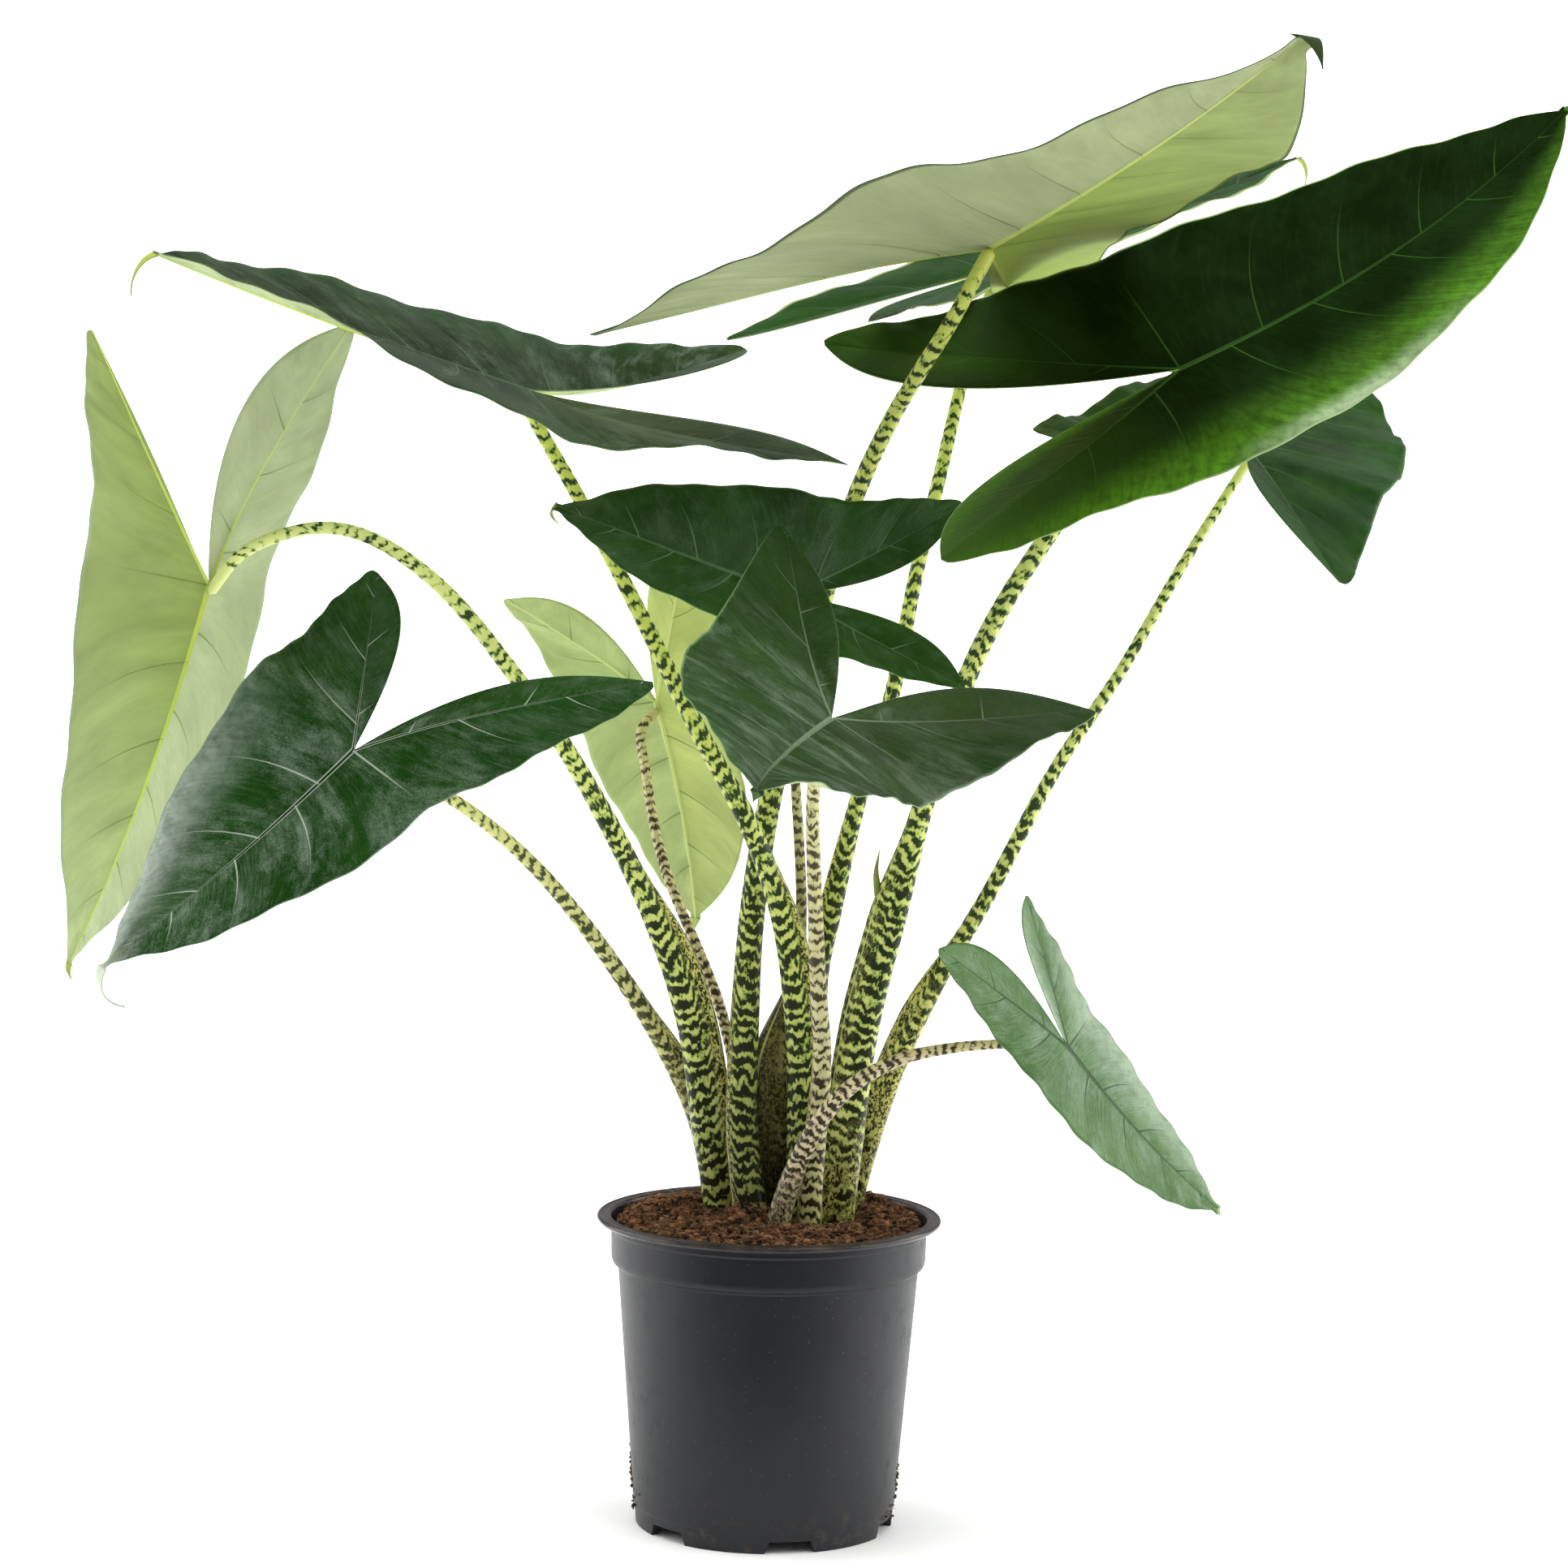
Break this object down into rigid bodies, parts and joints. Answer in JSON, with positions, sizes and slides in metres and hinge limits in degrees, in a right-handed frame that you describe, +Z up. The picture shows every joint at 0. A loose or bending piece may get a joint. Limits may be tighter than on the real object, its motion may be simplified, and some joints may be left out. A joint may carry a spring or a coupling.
{
  "type": "potted alocasia zebrina",
  "caption": "Foliage houseplant with arrow-shaped leaves on tall banded stalks, rooted in peat soil in a round tapered nursery pot.",
  "frame": {"origin": "on the floor, under the middle of the whole plant's width and depth, which is 26 mm to the right of the pot's axis and 45 mm in front of it", "axes": "+Z up, -Y towards the front of the plant, +X to the right seen from the front"},
  "size_m": [0.8974, 0.7488, 0.8733],
  "materials": {
    "leaf_blade": "waxy, semi-gloss above and matt pale green below",
    "banded_stalk": "smooth living stalk, yellow-green with dark green bands",
    "cream_stalk": "smooth living stalk, cream with brown bands",
    "peat_soil": "loose fibrous peat",
    "pot_plastic": "satin moulded polypropylene"
  },
  "bodies": {
    "root": {"leaf_1": "leaf_blade", "leaf_2": "leaf_blade", "leaf_3": "leaf_blade", "leaf_4": "leaf_blade", "leaf_5": "leaf_blade", "leaf_6": "leaf_blade", "leaf_7": "leaf_blade", "leaf_8": "leaf_blade", "leaf_9": "leaf_blade", "leaf_10": "leaf_blade", "leaf_11": "leaf_blade", "petiole_1": "banded_stalk", "petiole_2": "banded_stalk", "petiole_3": "banded_stalk", "petiole_4": "banded_stalk", "petiole_5": "banded_stalk", "petiole_6": "cream_stalk", "petiole_7": "cream_stalk", "petiole_8": "banded_stalk", "petiole_9": "banded_stalk", "petiole_10": "cream_stalk", "petiole_11": "cream_stalk", "soil": "peat_soil", "pot": "pot_plastic"}
  },
  "joints": []
}
